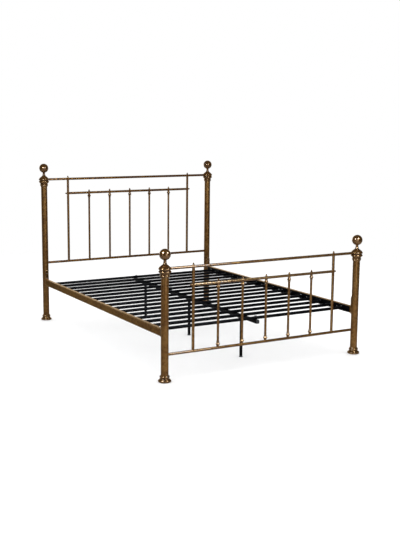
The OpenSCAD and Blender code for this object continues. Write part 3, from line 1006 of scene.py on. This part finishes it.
def carriers():
    """An angle strip inside each side rail, with its leg SEAT_GAP under the slats."""
    low = carrier_low / MM
    high = carrier_high / MM
    seat = SLAT_Z - SLAT_R - SEAT_GAP
    tip = STRIP_X - CARRIER_LEG
    corner = [(high.z, high.x), (low.z, high.x), (low.z, STRIP_X), (seat - CARRIER_T, STRIP_X),
              (seat - CARRIER_T, tip), (seat, tip), (seat, STRIP_X), (high.z, STRIP_X)]
    for side, way in (("right", 1), ("left", -1)):
        outline = rounded([(a, way * b) for a, b in corner], 0.9, 3, wrap=True)
        if way < 0:
            outline = outline[::-1]
        shape = Shape()
        extruded(shape, (0, 0, 0), "y", outline, low.y, high.y)
        piece(f"slat_carrier_{side}", shape, BLACK)


def beam_and_legs():
    """The centre beam with its end caps, and three flanged legs with their levelling feet."""
    middle = (beam_low.z + beam_high.z) / 2
    reach = beam_high.y / MM
    shape = Shape()
    boxed(shape, (0, 0, middle), "y", box_tube_rows(-reach, reach, BEAM, BEAM, 2.4), wrap=True)
    piece("centre_beam", shape, BLACK)
    shape = Shape()
    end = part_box("beam_end_caps")[1].y / MM
    plug = BEAM - 2 * WALL - 0.2
    for axis in ("y", "-y"):
        boxed(shape, (0, 0, middle), axis, slab_rows(reach, end, BEAM, BEAM, 2.6, 1.0))
        boxed(shape, (0, 0, middle), axis, [
            (reach - 15, 20.5, 20.5, 1.5, 0), (reach - 13, plug, plug, 1.2, 0),
            (reach + 0.2, plug, plug, 1.2, 0)])
    piece("beam_end_caps", shape, PLASTIC)
    for i, y in enumerate(LEG_Y, 1):
        low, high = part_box(f"centre_leg_{i}")
        bottom = low.z / MM
        top = high.z / MM
        under = top - FLANGE_T
        shape = Shape()
        turned(shape, (0, y, 0), "z", [
            (STUD_R + FIT, bottom), (LEG_R - 0.8, bottom), (LEG_R, bottom + 0.8), (LEG_R, under - 2.5),
            (LEG_R + 1.2, under - 0.6), (LEG_R + 1.4, under), (LEG_R - WALL, under),
            (LEG_R - WALL, bottom + INSERT), (STUD_R + FIT, bottom + INSERT)], wrap=True, sides=48)
        boxed(shape, (0, y, 0), "z", slab_rows(under, top, FLANGE_W, FLANGE_L, 4, 0.5))
        piece(f"centre_leg_{i}", shape, BLACK)
        piece(f"levelling_foot_{i}", levelling_foot(y), PLASTIC)


# the pad of a levelling foot: radius, height, share of the finger ribs and wear of each ring
PAD_RINGS = (
    (0, 0, 0, 0), (10.6, 0, 0, 0), (11.9, 0.4, 0, 0.3), (12.6, 1.4, 0.4, 0.5),
    (12.65, 2.6, 1, 0.2), (12.65, 5.6, 1, 0.2), (12.5, 6.8, 0.4, 0.5), (11.6, 7.7, 0, 0.5),
    (10, 8, 0, 0), (5.2, 8, 0, -0.5), (0, 8, 0, 0),
)
PAD_RIBS = 24
RIB_HEIGHT = 0.35


def levelling_foot(y):
    """A round pad, ribbed for fingers, on a threaded stud."""
    shape = Shape()
    centred = (0, y, 0)
    turns = circle(96)
    ribs = RIB_HEIGHT * np.cos(PAD_RIBS * turns)
    loops, worn = [], []
    for r, h, rib, wear in PAD_RINGS:
        loops.append(ring(r + ribs * rib, turns, h) * MM + centred)
        worn.append([wear] * len(turns))
    skin(shape, loops, worn)
    turns = circle(24)
    tip = np.zeros((len(turns), 3))
    loops = [tip + (0, y, STUD_FOOT * MM)]
    worn = [[0] * len(turns)]
    for h in np.arange(STUD_FOOT, STUD_TOP + 1e-6, PITCH / PITCH_STEPS):
        groove = np.abs(2 * ((h / PITCH - turns / (2 * math.pi)) % 1) - 1)
        radius = STUD_R - THREAD_DEPTH * groove * min(1, (STUD_TOP - h) / 1.5 + 0.3)
        loops.append(ring(radius, turns, h) * MM + centred)
        worn.append(list(0.8 - 1.2 * groove))
    loops.append(tip + (0, y, loops[-1][0][2]))
    worn.append([0] * len(turns))
    skin(shape, loops, worn)
    return shape


def carrier_screw_rows():
    """Where the carrier screws sit: halfway between slats, alike over both halves of the rail."""
    pitch = (SLAT_Y[-1] - SLAT_Y[0]) / (len(SLAT_Y) - 1)
    outer = (len(SLAT_Y) - 2) / 2
    half = CARRIER_SCREWS // 2
    rows = [outer - round(k * outer / (half - 0.5)) for k in range(half)]
    return [way * row * pitch for row in rows for way in (-1, 1)]


def deck_screws():
    """Screws at the slats' ends, bolts through the beam, and screws in the leg flanges and carriers."""
    shape = Shape()
    long = pan_head(DECK_HEAD_R, 2.6, DECK_SCREW_R, 26, DECK_CROSS)
    short = pan_head(DECK_HEAD_R, 2.6, DECK_SCREW_R, 12, DECK_CROSS)
    low_head = pan_head(DECK_HEAD_R, 2.2, DECK_SCREW_R, 10, DECK_CROSS)
    bolt = hex_bolt(7.5, 6, 4, 28)
    top = (SLAT_Z + SLAT_R) * MM
    for i, y in enumerate(SLAT_Y):
        for way in (-1, 1):
            turn = Matrix.Rotation(0.7 * i + way, 4, "Z")
            shape.copy_in(long, Matrix.Translation((way * SCREW_X, y, top)) @ turn)
    for b in range(BOLTED_SLATS):
        y = SLAT_Y[round(b * (len(SLAT_Y) - 1) / (BOLTED_SLATS - 1))]
        shape.copy_in(bolt, Matrix.Translation((0, y, top)) @ Matrix.Rotation(0.4 * b, 4, "Z"))
    under = beam_low.z - FLANGE_T * MM
    for i, y in enumerate(LEG_Y):
        for way in (-1, 1):
            place = Matrix.Translation((0, y + way * LEG_SCREW_Y * MM, under))
            turn = Matrix.Rotation(math.pi, 4, "X") @ Matrix.Rotation(0.9 * i + way, 4, "Z")
            shape.copy_in(short, place @ turn)
    for i, y in enumerate(carrier_screw_rows()):
        for way in (-1, 1):
            place = Matrix.Translation((way * STRIP_X * MM, y, SLAT_Z * MM))
            turn = Matrix.Rotation(-way * math.pi / 2, 4, "Y") @ Matrix.Rotation(0.5 * i, 4, "Z")
            shape.copy_in(low_head, place @ turn)
    piece("deck_screws", shape, ZINC)


def floor_glides():
    """A round pad under each base."""
    line = [(0, 0), (GLIDE_R - 1, 0), (GLIDE_R - 0.3, 0.3), (GLIDE_R, 1)]
    line += [(GLIDE_R, GLIDE_T - 0.2), (GLIDE_R - 0.2, GLIDE_T), (0, GLIDE_T)]
    shape = Shape()
    for at in post_at.values():
        turned(shape, (at.x, at.y, 0), "z", line, sides=72)
    piece("floor_glides", shape, PLASTIC)


for end in ENDS:
    for side in SIDES:
        post(end, side)
        castings(end, side)
boards()
for side in SIDES:
    side_rail(side)
fittings()
slats()
carriers()
beam_and_legs()
deck_screws()
floor_glides()

# ---- studio: pale floor, soft boxes and the camera

# a round floor in metres, which fades into the backdrop from FLOOR_FADE outwards
FLOOR_R = 4.8
FLOOR_FADE = 1.8
FLOOR_SIDES = 96
# what metal reflects of the room where no lamp is
ROOM_COLOUR = (0.95, 0.97, 1.0, 1)
ROOM = 0.06
WHITE = (1.0, 1.0, 1.0)
COOL = (0.72, 0.85, 1.0)
# name, place, aim, size in metres, radiance, colour, and True for reflections only or False for matt light
LAMPS = (
    ("left_box", (-2.6, -1.5, 2.3), (-0.5, -0.9, 0.9), (1.1, 0.9), 36.0, COOL, True),
    ("front_box", (0.5, -2.8, 2.1), (-0.3, -0.9, 0.9), (0.9, 0.9), 28.0, COOL, True),
    ("left_strip", (-2.6, -1.5, 0.9), (-0.5, -0.9, 0.9), (0.6, 1.5), 1.2, WHITE, True),
    ("front_strip", (-0.5, -3.5, 0.9), (-0.3, -0.5, 0.9), (1.6, 1.6), 1.9, WHITE, True),
    ("floor_glow", (0, -0.6, 0.001), (0, -0.6, 1), (6.0, 6.0), 0.32, WHITE, True),
    ("floor_front", (-0.4, -2.1, 0.002), (-0.4, -2.1, 1), (3.4, 1.9), 0.28, WHITE, True),
    ("back_glow", (1.2, 4.4, 1.2), (0.2, 0, 1.2), (7.0, 2.4), 1.3, WHITE, True),
    ("top_panel", (0, 0, 4.0), (0, 0, 0), (16.0, 16.0), 1.72, WHITE, False),
)


def floor_disc():
    """A pale round floor that the metal doesn't reflect."""
    mesh = bpy.data.meshes.new("floor")
    rim = [(FLOOR_R * math.cos(t), FLOOR_R * math.sin(t), 0) for t in circle(FLOOR_SIDES)]
    mesh.from_pydata(rim, [], [tuple(range(FLOOR_SIDES))])
    floor = bpy.data.objects.new("floor", mesh)
    bpy.context.scene.collection.objects.link(floor)
    n = Nodes("floor_paint")
    paint = n.ramp(n.noise(1.5, 3, 0.5), [(0.3, (0.86, 0.86, 0.86)), (0.7, (0.89, 0.89, 0.89))])
    n.link(paint, n.shader.inputs["Base Color"])
    n.set(Roughness=0.9)
    away = n.tree.nodes.new("ShaderNodeVectorMath")
    away.operation = "LENGTH"
    n.link(n.place, away.inputs[0])
    n.link(n.span(away.outputs["Value"], FLOOR_FADE, FLOOR_R, 1.0, 0.0), n.shader.inputs["Alpha"])
    mesh.materials.append(n.material)
    floor.visible_glossy = False


def room_light():
    """A white backdrop for the camera, and a dim room for everything else."""
    world = bpy.data.worlds.new("studio")
    bpy.context.scene.world = world
    world.use_nodes = True
    nodes = world.node_tree.nodes
    links = world.node_tree.links
    backdrop = nodes["Background"]
    backdrop.inputs["Color"].default_value = (*WHITE, 1)
    backdrop.inputs["Strength"].default_value = 1.0
    room = nodes.new("ShaderNodeBackground")
    room.inputs["Color"].default_value = ROOM_COLOUR
    room.inputs["Strength"].default_value = ROOM
    path = nodes.new("ShaderNodeLightPath")
    mix = nodes.new("ShaderNodeMixShader")
    links.new(path.outputs["Is Camera Ray"], mix.inputs["Fac"])
    links.new(room.outputs["Background"], mix.inputs[1])
    links.new(backdrop.outputs["Background"], mix.inputs[2])
    links.new(mix.outputs["Shader"], nodes["World Output"].inputs["Surface"])


def lamps():
    """Soft boxes and glows for the metal's reflections, and a wide panel above for the rest."""
    for name, at, aim, (width, depth), radiance, colour, reflected in LAMPS:
        light = bpy.data.lights.new(name, "AREA")
        light.shape = "RECTANGLE"
        light.size = width
        light.size_y = depth
        light.energy = radiance * math.pi * width * depth
        light.color = colour
        lamp = bpy.data.objects.new(name, light)
        lamp.location = at
        lamp.rotation_mode = "QUATERNION"
        lamp.rotation_quaternion = (Vector(aim) - Vector(at)).to_track_quat("-Z", "Y")
        lamp.visible_glossy = reflected
        lamp.visible_diffuse = not reflected
        lamp.visible_camera = False
        bpy.context.scene.collection.objects.link(lamp)


# place in metres, angles in radians and lens in millimetres
CAMERA_AT = (-3.4865, -6.1457, 1.687)
YAW = -0.5274
TILT = -0.1609
ROLL = 0.0089
SENSOR_MM = 36
LENS_MM = 63.025


def camera():
    """A camera at eye height off the foot end's left corner, tilted down."""
    level_ahead = Vector((-math.sin(YAW), math.cos(YAW), 0))
    ahead = math.cos(TILT) * level_ahead + Vector((0, 0, math.sin(TILT)))
    level = Vector((math.cos(YAW), math.sin(YAW), 0))
    above = level.cross(ahead)
    right = math.cos(ROLL) * level + math.sin(ROLL) * above
    up = -math.sin(ROLL) * level + math.cos(ROLL) * above
    lens = bpy.data.cameras.new("camera")
    lens.sensor_width = SENSOR_MM
    lens.sensor_fit = "AUTO"
    lens.lens = LENS_MM
    lens.clip_start = 0.1
    lens.clip_end = 100
    made = bpy.data.objects.new("camera", lens)
    turn = Matrix((right, up, -ahead)).transposed().to_4x4()
    made.matrix_world = Matrix.Translation(CAMERA_AT) @ turn
    bpy.context.scene.collection.objects.link(made)
    bpy.context.scene.camera = made


floor_disc()
room_light()
lamps()
camera()
bpy.context.scene.view_settings.view_transform = "Standard"
